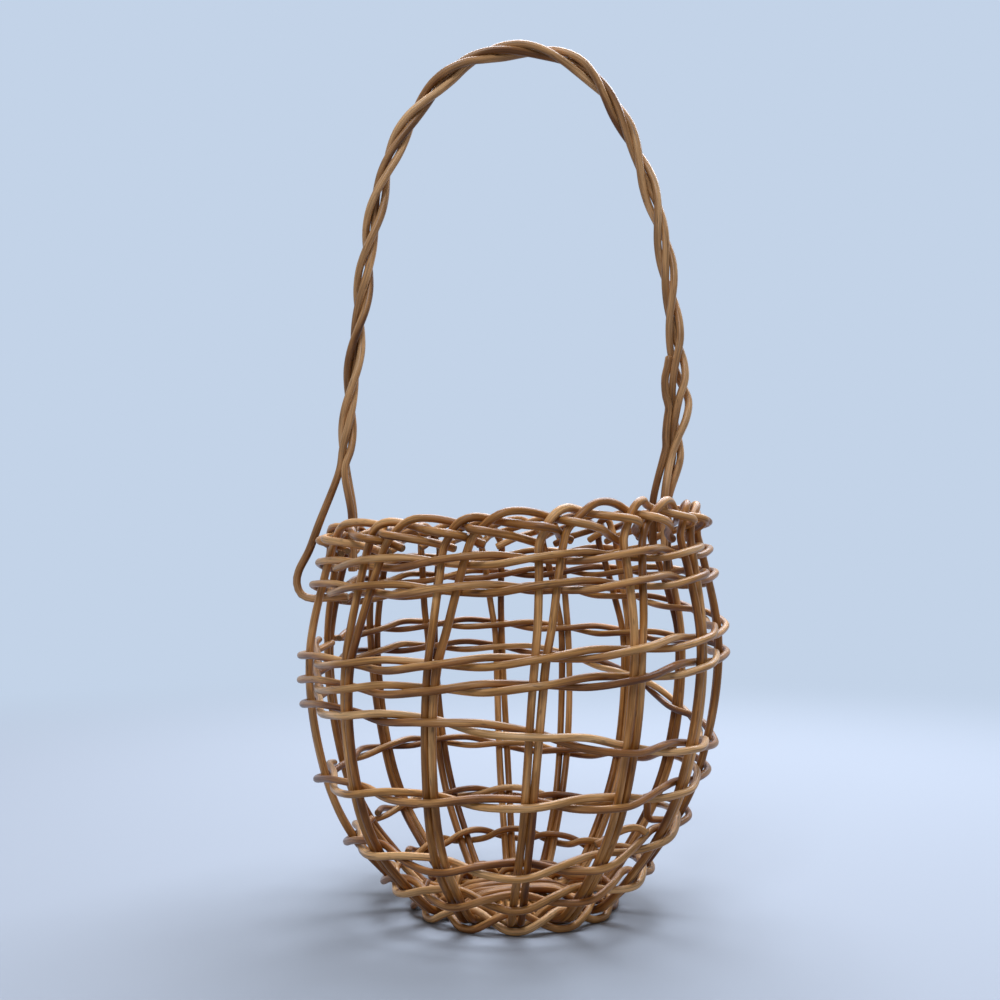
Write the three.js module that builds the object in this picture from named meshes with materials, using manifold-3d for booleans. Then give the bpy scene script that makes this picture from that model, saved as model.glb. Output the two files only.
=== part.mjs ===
// Openwork cane basket with a tall twisted handle, in millimetres, +Z up, standing on the origin.
// Seven pairs of long rods cross at the base and rise as fourteen stake pairs, rows of pairing hold
// them, their ends are bent over into the border, and three twisted rods hook under it as the handle.
import * as THREE from 'three';
import Module from 'manifold-3d';
import { mergeVertices } from 'three/addons/utils/BufferGeometryUtils.js';

// Rods
const STAKE_DIAMETER = 2.8;
const WEAVER_DIAMETER = 2.6;
const HANDLE_DIAMETER = 2.8;
const CLEARANCE = 0.45;
const CROSSING_GAP = 0.7;
const ROW_GAP = 2.25;
const ROD_SIDES = 5;
const STEEPEST = 0.35;

// Body; the hand-made body leans, so it is higher on the right, +X, by a share of the distance
const BASE_RADIUS = 38;
const BELLY_RADIUS = 80.8;
const BELLY_HEIGHT = 100;
const RIM_RADIUS = 72.8;
const RIM_HEIGHT = 144.3;
const BORDER_RISE = 11.5;
const VEE_SPREAD = 5.5;
const VEE_START = 0.74;
const LEAN = 0.045;

// Base cross: four pairs lie below and three pairs lie across them
const CROSS_ANGLE = 15;
const CROSS_REACH = 15;
const LANE_GAP = 0.9;
const FAN_RADIUS = 23;
const FLOOR_CUT = 0.4;

// Handle: three rods twisted into one arch, whose feet stand inside the border, and a tie rod beside the
// right foot, where the twist is loose
const HANDLE_TOP = 349;
const HANDLE_TURNS = 6;
const HANDLE_FOOT_RADIUS = 64.8;
const FOOT_STAND = 7.5;
const FOOT_LENGTH = 27;
const FOOT_SPREAD = 4.4;
const FOOT_INSET = 3.2;
const FOOT_BEND = 5;
const HOOK_OVERHANG = 10.5;
const HOOK_BEND = 6.5;
const HOOK_STANDOFF = 9.9;
const HOOK_STRAIGHT = 0.62;
const HOOK_LEAN_IN = 0.12;
const HOOK_CLOSING = 0.6;
const TWIST_SPREAD = 1.45;
const TWIST_STEP = 8;
const LOOSE_LENGTH = 56;
const LOOSE_GAP = 2.6;
const TIE_LENGTH = 42;
const TIE_ANGLE = 80;

// The arch over its feet: share of the half span, left negative, and share of the rise
const ARCH = [
  [-1.055, 0.06], [-1.035, 0.135], [-1.01, 0.24], [-0.97, 0.365], [-0.917, 0.508], [-0.85, 0.645],
  [-0.77, 0.745], [-0.63, 0.84], [-0.453, 0.92], [-0.284, 0.969], [-0.096, 0.993], [0.093, 1],
  [0.276, 0.991], [0.428, 0.968], [0.562, 0.925], [0.7, 0.85], [0.856, 0.721], [0.95, 0.61],
  [1.01, 0.47], [1.05, 0.325], [1.062, 0.21], [1.04, 0.09],
];

// Where each stake pair stands at the base and at the rim, in degrees from the front, right positive
const STAKE_ANGLES = [
  [-84, -79], [-55, -45], [-27.5, -18], [0, 8], [29, 33], [57, 59], [82, 84],
  [111, 120], [136, 143], [160, 164], [182, 186], [204, 209], [226, 231], [249, 255],
];
const PAIRS = STAKE_ANGLES.length;

// Where a handle foot stands, counted in stake pairs: midway between two of them, left and right
const LEFT_PLACE = PAIRS - 0.5;
const RIGHT_PLACE = 6.5;

// Shares of the half section at which a stake has its points
const STAKE_SHARES = [0, 0.06, 0.13, 0.2, 0.28, 0.36, 0.46, 0.57, 0.68, 0.79, 0.88, 0.95, 1];

// Border: each rod bends over to the right, passes behind the next rod and before the one after, and ends
// behind the third. A point says how far it has gone, in stake pairs, its share of the rise and its offset
// outward in rods.
const LEFT_END = [
  [0, 0.35, 0], [0.05, 0.68, 0.05], [0.13, 0.93, 0.05], [0.26, 1.05, -0.35], [0.46, 0.91, -1.3],
  [0.6, 0.78, -0.85], [0.74, 0.68, 0], [0.9, 0.58, 0.9], [1.01, 0.51, 1.3], [1.1, 0.43, 0.85],
  [1.165, 0.33, -0.3], [1.23, 0.21, -1.2], [1.29, 0.12, -1.3], [1.37, 0.02, -1.3],
];
const RIGHT_END = [
  [0.27, 0.35, 0], [0.38, 0.68, 0], [0.49, 0.93, 0.1], [0.61, 1.08, -0.05], [0.8, 1.07, -0.6],
  [1, 0.92, -1.25], [1.1, 0.81, -1.4], [1.18, 0.71, -0.9], [1.24, 0.64, 0.4], [1.3, 0.58, 1.25],
  [1.41, 0.5, 1.4], [1.52, 0.42, 0.95], [1.66, 0.31, 0.2], [1.8, 0.17, -0.9], [1.92, 0.04, -1.3],
  [2.03, -0.08, -1.3],
];

// Rise of the hand-made border at the fourteen stake pairs, as a share of BORDER_RISE
const BORDER_SHARES = [0.8, 0.84, 0.81, 0.92, 1.13, 1.06, 0.92, 0.92, 0.95, 0.95, 0.92, 0.87, 0.83, 0.8];

// Every row of pairing on its way past the fourteen stake pairs, before the lean. Rim rows fall below the
// rim by a number of row pitches.
const RIM_ROWS = [
  {
    name: 'rim_row_upper',
    falls: [0.58, 0.56, 0.59, 0.63, 0.67, 0.7, 0.7, 0.65, 0.61, 0.6, 0.6, 0.61, 0.61, 0.6],
  },
  {
    name: 'rim_row_lower',
    falls: [1.63, 1.68, 1.78, 1.83, 1.88, 1.9, 1.88, 1.78, 1.68, 1.63, 1.61, 1.6, 1.61, 1.63],
  },
];

// Belly rows fall by a share of the room that the rows leave free between the rim rows and the lower rows,
// and start at another height than they end
const BELLY_ROWS = [
  {
    name: 'belly_row_first',
    start: 0.36,
    falls: [0.45, 0.46, 0.43, 0.38, 0.33, 0.31, 0.28, 0.15, 0.05, 0, -0.03, -0.04, -0.04, -0.03],
  },
  {
    name: 'belly_row_second',
    start: 0.39,
    falls: [0.47, 0.47, 0.44, 0.4, 0.37, 0.34, 0.33, 0.3, 0.24, 0.2, 0.15, 0.12, 0.12, 0.16],
  },
  {
    name: 'belly_row_third',
    start: 0.43,
    falls: [0.49, 0.49, 0.5, 0.61, 0.76, 0.84, 0.96, 0.76, 0.45, 0.28, 0.2, 0.17, 0.16, 0.2],
  },
];

// Lower rows rise to a share of the belly's height
const LOWER_ROWS = [
  {
    name: 'lower_row_first',
    rises: [0.57, 0.58, 0.576, 0.554, 0.524, 0.524, 0.538, 0.52, 0.49, 0.49, 0.53, 0.574, 0.584, 0.572],
  },
  {
    name: 'lower_row_second',
    rises: [0.325, 0.345, 0.314, 0.295, 0.294, 0.34, 0.37, 0.34, 0.28, 0.3, 0.334, 0.344, 0.334, 0.325],
  },
  {
    name: 'lower_row_third',
    rises: [0.144, 0.166, 0.158, 0.152, 0.166, 0.174, 0.176, 0.16, 0.144, 0.156, 0.172, 0.172, 0.158, 0.148],
  },
];

// Base rows lie at a share of the way from the fan of the stakes to the edge of the base
const BASE_ROWS = [
  { name: 'base_row_outer', spread: 1.033 },
  { name: 'base_row_inner', spread: 0.433 },
];

const CANE = new THREE.Color('#a0764a');
const CANE_LIGHT = new THREE.Color('#b98c5c');
const CANE_DARK = new THREE.Color('#8a6038');

const stakeRadius = STAKE_DIAMETER / 2;
const weaverRadius = WEAVER_DIAMETER / 2;
const pairHalf = (STAKE_DIAMETER + CLEARANCE) / 2;
const weaveReach = stakeRadius + weaverRadius + CLEARANCE;
const crossHalf = weaverRadius + CROSSING_GAP / 2;
const rowPitch = 2 * (crossHalf + weaverRadius) + ROW_GAP;
const floorGap = weaverRadius * Math.cos(Math.PI / ROD_SIDES);
const baseLevel = floorGap + weaveReach - FLOOR_CUT;
const upperLevel = baseLevel + STAKE_DIAMETER + CLEARANCE;
const degrees = THREE.MathUtils.degToRad;
const lerp = THREE.MathUtils.lerp;

// Half section of the basket through the middle of the stakes: x is the radius and y the height
const bodyPoint = (reach, rise) => new THREE.Vector3(
  lerp(BASE_RADIUS, BELLY_RADIUS, reach),
  lerp(baseLevel, BELLY_HEIGHT, rise),
  0,
);
const rimPoint = (reach, rise) => new THREE.Vector3(
  lerp(BELLY_RADIUS, RIM_RADIUS, reach),
  lerp(BELLY_HEIGHT, RIM_HEIGHT, rise),
  0,
);
const profile = new THREE.CatmullRomCurve3([
  new THREE.Vector3(FAN_RADIUS, baseLevel, 0),
  bodyPoint(0, 0.006), bodyPoint(0.28, 0.119), bodyPoint(0.62, 0.313), bodyPoint(0.83, 0.517),
  bodyPoint(0.963, 0.8), bodyPoint(1, 1), rimPoint(0.19, 0.36), rimPoint(1, 1),
], false, 'centripetal');

// Share of the half section at which a coordinate, x or y, reaches a value
function shareAt(axis, value) {
  let low = 0;
  let high = 1;
  for (let i = 0; i < 40; i += 1) {
    const middle = (low + high) / 2;
    if (profile.getPoint(middle)[axis] < value) low = middle;
    else high = middle;
  }
  return low;
}
const shareAtHeight = (height) => shareAt('y', Math.min(height, RIM_HEIGHT));

// A radius only grows up to the belly, so this is for rows under the basket
const shareAtRadius = (radius) => shareAt('x', radius);

// Angle of a place counted in stake pairs, such as 2.5 for midway between the third and the fourth
function angleAt(place, share) {
  const index = Math.floor(place);
  const turns = Math.floor(index / PAIRS);
  const here = STAKE_ANGLES[index - turns * PAIRS];
  const next = STAKE_ANGLES[(index + 1) - Math.floor((index + 1) / PAIRS) * PAIRS];
  const wrap = (index + 1) % PAIRS === 0 ? 360 : 0;
  const start = lerp(here[0], here[1], share);
  const stop = lerp(next[0], next[1], share) + wrap;
  return degrees(lerp(start, stop, place - index) + turns * 360);
}

// Direction from the axis at an angle that starts at the front, -Y, and turns towards +X
const outward = (angle) => new THREE.Vector3(Math.sin(angle), -Math.cos(angle), 0);

// The flat base stands level, and the body above it leans by its distance from the middle
function leaned(point) {
  const ramp = THREE.MathUtils.smoothstep(point.z, baseLevel, BELLY_HEIGHT / 3);
  return point.setZ(point.z + LEAN * point.x * ramp);
}

// The basket's skin at a place among the stakes: its point, its outward normal and its way up
function skin(place, share) {
  const at = profile.getPoint(share);
  const slope = profile.getTangent(share);
  const away = outward(angleAt(place, share));
  const up = away.clone().multiplyScalar(slope.x).setZ(slope.y);
  const normal = away.clone().multiplyScalar(slope.y).setZ(-slope.x);
  return { point: leaned(away.multiplyScalar(at.x).setZ(at.y)), normal, up };
}

// A closed round rod along points; its section keeps one flat side towards the given down direction, unless
// the rod runs so steeply that less than a share of that direction, STEEPEST, is left across it
function rodGeometry(points, radius, down) {
  const positions = [];
  const faces = [];
  const tangents = points.map((point, i) => {
    const before = points[Math.max(i - 1, 0)];
    const after = points[Math.min(i + 1, points.length - 1)];
    return after.clone().sub(before).normalize();
  });
  let across = new THREE.Vector3().crossVectors(tangents[0], down).normalize();
  points.forEach((point, i) => {
    const bottom = down.clone().addScaledVector(tangents[i], -down.dot(tangents[i]));
    if (bottom.length() > STEEPEST) {
      const side = new THREE.Vector3().crossVectors(tangents[i], bottom.normalize());
      across = side.dot(across) < 0 ? side.negate() : side;
    } else {
      across = across.clone().addScaledVector(tangents[i], -across.dot(tangents[i])).normalize();
    }
    const over = new THREE.Vector3().crossVectors(across, tangents[i]);
    for (let k = 0; k < ROD_SIDES; k += 1) {
      const turn = (2 * Math.PI * (k + 0.5)) / ROD_SIDES;
      const corner = point.clone();
      corner.addScaledVector(over, -Math.cos(turn) * radius);
      corner.addScaledVector(across, Math.sin(turn) * radius);
      positions.push(corner.x, corner.y, corner.z);
    }
  });
  for (let i = 0; i < points.length - 1; i += 1) {
    for (let k = 0; k < ROD_SIDES; k += 1) {
      const a = i * ROD_SIDES + k;
      const b = i * ROD_SIDES + ((k + 1) % ROD_SIDES);
      faces.push(a, b + ROD_SIDES, b, a, a + ROD_SIDES, b + ROD_SIDES);
    }
  }
  const last = (points.length - 1) * ROD_SIDES;
  for (let k = 1; k < ROD_SIDES - 1; k += 1) {
    faces.push(0, k, k + 1, last, last + k + 1, last + k);
  }
  const geometry = new THREE.BufferGeometry();
  geometry.setAttribute('position', new THREE.Float32BufferAttribute(positions, 3));
  geometry.setIndex(faces);
  return geometry;
}

const wasm = await Module();
wasm.setup();

function toSolid(geometry) {
  const bare = geometry.clone();
  bare.deleteAttribute('normal');
  bare.deleteAttribute('uv');
  const merged = mergeVertices(bare);
  const vertProperties = new Float32Array(merged.attributes.position.array);
  const triVerts = new Uint32Array(merged.index.array);
  return new wasm.Manifold(new wasm.Mesh({ numProp: 3, vertProperties, triVerts }));
}

// Takes off what would reach under the floor, so that the rod stands on a flat
function standOnFloor(geometry) {
  const reach = 4 * BELLY_RADIUS;
  const ground = new THREE.BoxGeometry(reach, reach, reach).translate(0, 0, -reach / 2);
  const mesh = toSolid(geometry).subtract(toSolid(ground)).getMesh();
  const cut = new THREE.BufferGeometry();
  cut.setAttribute('position', new THREE.Float32BufferAttribute(mesh.vertProperties, mesh.numProp));
  cut.setIndex(Array.from(mesh.triVerts));
  return cut;
}

const basket = new THREE.Group();

function addRod(name, points, diameter, colour, down = new THREE.Vector3(0, 0, -1)) {
  let geometry = rodGeometry(points, diameter / 2, down);
  geometry.computeBoundingBox();
  if (geometry.boundingBox.min.z < 0) geometry = standOnFloor(geometry);
  geometry.computeVertexNormals();
  const material = new THREE.MeshStandardMaterial({ color: colour, roughness: 0.55, metalness: 0 });
  const rod = new THREE.Mesh(geometry, material);
  rod.name = name;
  basket.add(rod);
}

// The two rods of a pair part below the border: extra step of the right one at a share of the half section
const veeStep = (share) => VEE_SPREAD * (Math.max(share - VEE_START, 0) / (1 - VEE_START)) ** 2;

// Rise of the border at a place among the stakes
function borderRise(place) {
  const index = Math.floor(place);
  const here = BORDER_SHARES[index % PAIRS];
  const next = BORDER_SHARES[(index + 1) % PAIRS];
  return BORDER_RISE * lerp(here, next, place - index);
}

// One stake from the fan of the base up to its tip in the border; side is -1 for the left rod of its pair
function stakeRoute(index, side) {
  const line = STAKE_SHARES.map((share) => skin(index, share));
  const rise = line.map((spot, i) => {
    const before = line[Math.max(i - 1, 0)].point;
    const after = line[Math.min(i + 1, line.length - 1)].point;
    const along = after.clone().sub(before).normalize();
    const across = new THREE.Vector3().crossVectors(along, spot.normal).normalize();
    const step = side > 0 ? pairHalf + veeStep(STAKE_SHARES[i]) : -pairHalf;
    return spot.point.clone().addScaledVector(across, step);
  });
  const end = side > 0 ? RIGHT_END : LEFT_END;
  const border = end.map(([gone, high, offset]) => {
    const radius = RIM_RADIUS + offset * (STAKE_DIAMETER + CLEARANCE);
    const point = outward(angleAt(index + gone, 1)).multiplyScalar(radius);
    return leaned(point.setZ(RIM_HEIGHT + high * borderRise(index + gone)));
  });
  return [...rise, ...border];
}

// Straight run of a rod over the middle of the base, between its two stakes
function crossRun(lane, laneCount, turn, level) {
  const forward = outward(degrees(turn));
  const sideways = outward(degrees(turn + 90));
  const shift = (lane - (laneCount - 1) / 2) * (STAKE_DIAMETER + LANE_GAP);
  return [-1, 1].map((end) => {
    const point = forward.clone().multiplyScalar(-end * CROSS_REACH);
    return point.addScaledVector(sideways, shift).setZ(level);
  });
}

// Seven long pairs: the two stakes of a pair are the two ends of the same two rods
const crossGroups = [
  { name: 'long', near: [2, 3, 4, 5], far: [12, 11, 10, 9], turn: CROSS_ANGLE, level: baseLevel },
  { name: 'short', near: [6, 7, 8], far: [1, 0, 13], turn: CROSS_ANGLE + 90, level: upperLevel },
];
crossGroups.forEach((group) => {
  const laneCount = group.near.length * 2;
  group.near.forEach((near, order) => {
    [-1, 1].forEach((side) => {
      const lane = order * 2 + (side > 0 ? 1 : 0);
      const nearEnd = stakeRoute(near, side).reverse();
      const farEnd = stakeRoute(group.far[order], -side);
      const middle = crossRun(lane, laneCount, group.turn, group.level);
      const name = `stake_${group.name}_${order + 1}${side > 0 ? 'b' : 'a'}`;
      addRod(name, [...nearEnd, ...middle, ...farEnd], STAKE_DIAMETER, CANE);
    });
  });
});

// One of the two strands of a row: it slants up over the outside of one stake pair, crosses, and slants
// down over the inside of the next
function strandPoints(shareOf, start, strand) {
  const points = [];
  for (let pair = 0; pair < PAIRS; pair += 1) {
    const share = shareOf(pair + 0.5);
    const gap = angleAt(start + pair + 1, share) - angleAt(start + pair, share);
    const reach = gap * profile.getPoint(share).x;
    const leave = (pairHalf + stakeRadius + veeStep(share)) / reach;
    const meet = 1 - (pairHalf + stakeRadius) / reach;
    const face = (pair + strand) % 2 === 0 ? 1 : -1;
    const steps = [[leave, face, 2 * leave], [0.5, 0, 1], [meet, -face, 2 * (1 - meet)]];
    steps.forEach(([gone, level, slant]) => {
      const spot = skin(start + pair + gone, shareOf(pair + gone));
      spot.point.addScaledVector(spot.normal, level * weaveReach);
      points.push(spot.point.addScaledVector(spot.up, face * slant * crossHalf));
    });
  }
  return points;
}

// A row starts and ends behind the last stake pair, at the left of the back
function addRow(name, shareOf) {
  const strands = [{ letter: 'a', colour: CANE_LIGHT }, { letter: 'b', colour: CANE_DARK }];
  strands.forEach(({ letter, colour }, strand) => {
    const points = strandPoints(shareOf, PAIRS - 1, strand);
    addRod(`${name}_${letter}`, points, WEAVER_DIAMETER, colour);
  });
}

// A row by its heights at the fourteen stake pairs and, before them, at its start
function addLevelRow(name, heights, start = heights[PAIRS - 1]) {
  const stops = [start, ...heights];
  const shareOf = (gone) => {
    const index = Math.min(Math.floor(gone), PAIRS - 1);
    return shareAtHeight(lerp(stops[index], stops[index + 1], gone - index));
  };
  addRow(name, shareOf);
}

const rimHeights = RIM_ROWS.map(({ falls }) => falls.map((fall) => RIM_HEIGHT - fall * rowPitch));
const lowerHeights = LOWER_ROWS.map(({ rises }) => rises.map((rise) => rise * BELLY_HEIGHT));
const ceiling = rimHeights[RIM_ROWS.length - 1];
const ground = lowerHeights[0];
RIM_ROWS.forEach(({ name }, order) => addLevelRow(name, rimHeights[order]));
BELLY_ROWS.forEach(({ name, start, falls }, order) => {
  const heightAt = (fall, pair) => {
    const room = ceiling[pair] - ground[pair] - (BELLY_ROWS.length + 1) * rowPitch;
    return ceiling[pair] - (order + 1) * rowPitch - fall * room;
  };
  addLevelRow(name, falls.map(heightAt), heightAt(start, PAIRS - 1));
});
LOWER_ROWS.forEach(({ name }, order) => addLevelRow(name, lowerHeights[order]));
BASE_ROWS.forEach(({ name, spread }) => {
  const share = shareAtRadius(lerp(FAN_RADIUS, BASE_RADIUS, spread));
  addRow(name, () => share);
});

const handleRadius = HANDLE_DIAMETER / 2;
const hookLevel = (place) => {
  const low = Math.floor(place) % PAIRS;
  const row = (ceiling[low] + ceiling[(low + 1) % PAIRS]) / 2;
  return row - crossHalf - weaverRadius - CLEARANCE - handleRadius;
};

// A point by radius and height near a foot, stepped sideways along the rim
function footPoint(place, radius, height, sidestep) {
  const angle = angleAt(place, 1);
  const point = leaned(outward(angle).multiplyScalar(radius).setZ(height));
  return point.addScaledVector(outward(angle + Math.PI / 2), sidestep);
}

const borderTop = RIM_HEIGHT + BORDER_RISE;
const footTop = borderTop + FOOT_STAND;
const leftFoot = footPoint(LEFT_PLACE, HANDLE_FOOT_RADIUS, footTop, 0);
const rightFoot = footPoint(RIGHT_PLACE, HANDLE_FOOT_RADIUS, footTop, 0);
const rodGap = HANDLE_DIAMETER + CLEARANCE;
const twistHalf = (TWIST_SPREAD * rodGap) / 2;
const twistDepth = Math.sqrt(rodGap ** 2 - twistHalf ** 2);
const archTop = HANDLE_TOP - twistHalf - handleRadius;
const archMiddle = leftFoot.clone().add(rightFoot).multiplyScalar(0.5);
const archHalf = rightFoot.clone().sub(leftFoot).multiplyScalar(0.5);
const arch = new THREE.CatmullRomCurve3(ARCH.map(([reach, rise]) => (
  archMiddle.clone().addScaledVector(archHalf, reach).setZ(lerp(footTop, archTop, rise))
)), false, 'centripetal');
const archFront = new THREE.Vector3().crossVectors(archHalf, new THREE.Vector3(0, 0, 1)).normalize();
const archLength = arch.getLength();

// The flat twist at its left foot, to the front and inward: one rod outside and two side by side inside
const twistSpots = [
  [0, (-2 * twistDepth) / 3],
  [twistHalf, twistDepth / 3],
  [-twistHalf, twistDepth / 3],
];

// Angle of a twisted rod round the arch and its distance from the arch's middle line. The turn left over
// sets each rod over its feet, and the twist opens outward near the right foot.
function twistPlace(share, order) {
  const [front, inward] = twistSpots[order];
  const turn = 2 * Math.PI * share * (HANDLE_TURNS + 2 / 3) + Math.atan2(inward, front);
  const left = Math.min(archLength * (1 - share), LOOSE_LENGTH);
  const opening = Math.sin((Math.PI * left) / LOOSE_LENGTH) ** 2;
  const reach = Math.hypot(front, inward) + (LOOSE_GAP * opening * (1 - Math.sin(turn))) / 2;
  return { turn, reach };
}

// Least distance from the arch at which a fourth rod clears the three twisted ones
function clearReach(share, turn) {
  const reaches = twistSpots.map((_, order) => {
    const rod = twistPlace(share, order);
    const aside = Math.min(Math.abs(rod.reach * Math.sin(turn - rod.turn)), rodGap);
    return rod.reach * Math.cos(turn - rod.turn) + Math.sqrt(rodGap ** 2 - aside ** 2);
  });
  return Math.max(...reaches);
}

// A point beside the arch, turned from its front towards its inside
function besideArch(share, turn, reach) {
  const along = arch.getTangentAt(share);
  const inward = new THREE.Vector3().crossVectors(along, archFront).normalize();
  const point = arch.getPointAt(share);
  point.addScaledVector(archFront, Math.cos(turn) * reach);
  return point.addScaledVector(inward, Math.sin(turn) * reach);
}

// The twisted stretch of one of the three rods
function twistPoints(order) {
  const steps = Math.round(archLength / TWIST_STEP);
  return Array.from({ length: steps + 1 }, (_, i) => {
    const { turn, reach } = twistPlace(i / steps, order);
    return besideArch(i / steps, turn, reach);
  });
}

// The tie rod's stretch up the inside of the loose twist
function tiePoints() {
  const turn = degrees(TIE_ANGLE);
  const steps = Math.round((2 * TIE_LENGTH) / TWIST_STEP);
  return Array.from({ length: steps + 1 }, (_, i) => {
    const share = 1 - (TIE_LENGTH / archLength) * (1 - i / steps);
    return besideArch(share, turn, clearReach(share, turn));
  });
}

// A quarter bend from level to upright, as radius and height from its lower tangent's corner
const quarterBend = (bend) => [0, 0.5, 1].map((share) => {
  const turn = (share * Math.PI) / 2;
  return [bend * (1 - Math.sin(turn)), bend * (1 - Math.cos(turn))];
});

// The outer hook drops outside the border and turns in under the lower rim row
function outerHook() {
  const level = hookLevel(LEFT_PLACE);
  const skinRadius = profile.getPoint(shareAtHeight(level)).x;
  const outside = skinRadius + HOOK_OVERHANG;
  const bend = quarterBend(HOOK_BEND).map(([short, high]) => [outside - short, level + high]);
  const tip = [[skinRadius - HOOK_OVERHANG, level], [skinRadius, level]];
  const rise = [
    [outside - handleRadius / 2, lerp(level, RIM_HEIGHT, HOOK_STRAIGHT)],
    [RIM_RADIUS + HOOK_STANDOFF, lerp(RIM_HEIGHT, borderTop, HOOK_LEAN_IN)],
    [RIM_RADIUS + HOOK_STANDOFF * HOOK_CLOSING, borderTop],
  ];
  return [...tip, ...bend, ...rise].map(([radius, height]) => footPoint(LEFT_PLACE, radius, height, 0));
}

// An inner foot runs down inside the border
function innerFoot(place, sidestep, inset = 0) {
  const heights = [footTop - FOOT_LENGTH, footTop - FOOT_LENGTH / 2, footTop - FOOT_LENGTH / 7];
  return heights.map((height) => footPoint(place, HANDLE_FOOT_RADIUS - inset, height, sidestep));
}

// A foot that turns out under the lower rim row and so holds the handle down
function innerHook(place) {
  const level = hookLevel(place);
  const skinRadius = profile.getPoint(shareAtHeight(level)).x;
  const bend = quarterBend(FOOT_BEND).map(([out, high]) => [HANDLE_FOOT_RADIUS + out, level + high]);
  const tip = [[skinRadius + HOOK_OVERHANG / 3, level]];
  const points = [...tip, ...bend].map(([radius, height]) => footPoint(place, radius, height, 0));
  return [...points, ...innerFoot(place, 0).slice(1)];
}

// Feet are listed from the tip up, so the right-hand ones are turned round
const handleRods = [
  { left: outerHook(), right: innerFoot(RIGHT_PLACE, FOOT_SPREAD) },
  { left: innerFoot(LEFT_PLACE, FOOT_SPREAD / 2), right: innerHook(RIGHT_PLACE) },
  { left: innerFoot(LEFT_PLACE, -FOOT_SPREAD / 2), right: innerFoot(RIGHT_PLACE, -FOOT_SPREAD, FOOT_INSET) },
];
handleRods.forEach(({ left, right }, order) => {
  const points = [...left, ...twistPoints(order), ...right.reverse()];
  addRod(`handle_rod_${order + 1}`, points, HANDLE_DIAMETER, CANE, archFront);
});
const tieFoot = innerFoot(RIGHT_PLACE, 0, 2 * FOOT_INSET).reverse();
addRod('handle_tie_rod', [...tiePoints(), ...tieFoot], HANDLE_DIAMETER, CANE, archFront);

// The origin lies on the floor under the middle of the whole outline
const outline = new THREE.Box3().setFromObject(basket).getCenter(new THREE.Vector3());
basket.position.set(-outline.x, -outline.y, 0);

export default basket;
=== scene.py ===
"""Dresses the openwork cane basket: smooth cane rods, their finishes, the floor, the light and the camera.

Lengths are in millimetres, as in the part's source, and are turned into metres where a mesh is made.
"""

import logging
import math
from collections.abc import Callable, Sequence
from dataclasses import dataclass, field
from enum import Enum

import bpy
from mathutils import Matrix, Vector


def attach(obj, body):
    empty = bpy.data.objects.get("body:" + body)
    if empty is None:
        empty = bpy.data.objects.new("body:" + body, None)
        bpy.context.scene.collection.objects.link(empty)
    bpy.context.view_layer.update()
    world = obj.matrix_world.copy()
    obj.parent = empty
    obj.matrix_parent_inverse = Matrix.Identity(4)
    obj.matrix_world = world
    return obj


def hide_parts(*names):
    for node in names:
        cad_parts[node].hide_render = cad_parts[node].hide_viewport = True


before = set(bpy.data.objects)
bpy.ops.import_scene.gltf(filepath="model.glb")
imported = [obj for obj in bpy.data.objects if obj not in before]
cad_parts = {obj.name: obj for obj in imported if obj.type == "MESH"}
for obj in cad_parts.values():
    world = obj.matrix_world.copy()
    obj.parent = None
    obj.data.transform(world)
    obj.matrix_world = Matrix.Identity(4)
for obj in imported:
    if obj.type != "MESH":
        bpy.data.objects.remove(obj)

MM = 0.001
UP = Vector((0, 0, 1))
# The basket's axis stands this far to the right of the middle of the whole outline
AXIS_SHIFT = 1.986
# Sockets of a Mix node that mixes colours
COLOUR_A, COLOUR_B, COLOUR_OUT = 6, 7, 2
log = logging.getLogger("basket")


class Body(Enum):
    """The two CAD bodies that pieces ride on."""

    BASKET = "basket_body"
    HANDLE = "handle"


class Slot(Enum):
    """The record's material slots."""

    STAKE = "stake_cane"
    WEAVER_LIGHT = "weaver_cane_light"
    WEAVER_DARK = "weaver_cane_dark"
    HANDLE = "handle_cane"


def mix(start: float, stop: float, share: float) -> float:
    """Value at a share of the way from start to stop."""
    return start + (stop - start) * share


def smoothstep(value: float, low: float, high: float) -> float:
    """Eased step from 0 at low to 1 at high."""
    share = min(max((value - low) / (high - low), 0), 1)
    return share * share * (3 - 2 * share)


def linear_colour(code: str) -> tuple[float, float, float, float]:
    """Turns an sRGB hex colour into linear light.

    Args:
        code: Six hex digits after a number sign.

    Returns:
        Red, green, blue and full alpha.
    """
    parts = [int(code[i:i + 2], 16) / 255 for i in (1, 3, 5)]
    red, green, blue = (p / 12.92 if p <= 0.04045 else ((p + 0.055) / 1.055) ** 2.4 for p in parts)
    return red, green, blue, 1.0


def add_node(
    tree: bpy.types.NodeTree,
    kind: str,
    settings: dict[str, object] | None = None,
    inputs: dict[str | int, object] | None = None,
) -> bpy.types.Node:
    """Adds a node, sets it up and links what feeds it.

    Args:
        tree: The node tree that gets the node.
        kind: The node's type name without its ShaderNode prefix.
        settings: Properties of the node.
        inputs: Values, or output sockets to link, by input name or number.

    Returns:
        The new node.
    """
    node = tree.nodes.new("ShaderNode" + kind)
    for name, value in (settings or {}).items():
        setattr(node, name, value)
    for name, value in (inputs or {}).items():
        if isinstance(value, bpy.types.NodeSocket):
            tree.links.new(value, node.inputs[name])
        else:
            node.inputs[name].default_value = value
    return node


def start_material(name: str) -> tuple[bpy.types.Material, bpy.types.NodeTree, bpy.types.Node]:
    """Starts a material.

    Args:
        name: What it is made of.

    Returns:
        The material, its node tree and its main shader.
    """
    made = bpy.data.materials.new(name)
    made.use_nodes = True
    return made, made.node_tree, made.node_tree.nodes["Principled BSDF"]


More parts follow.
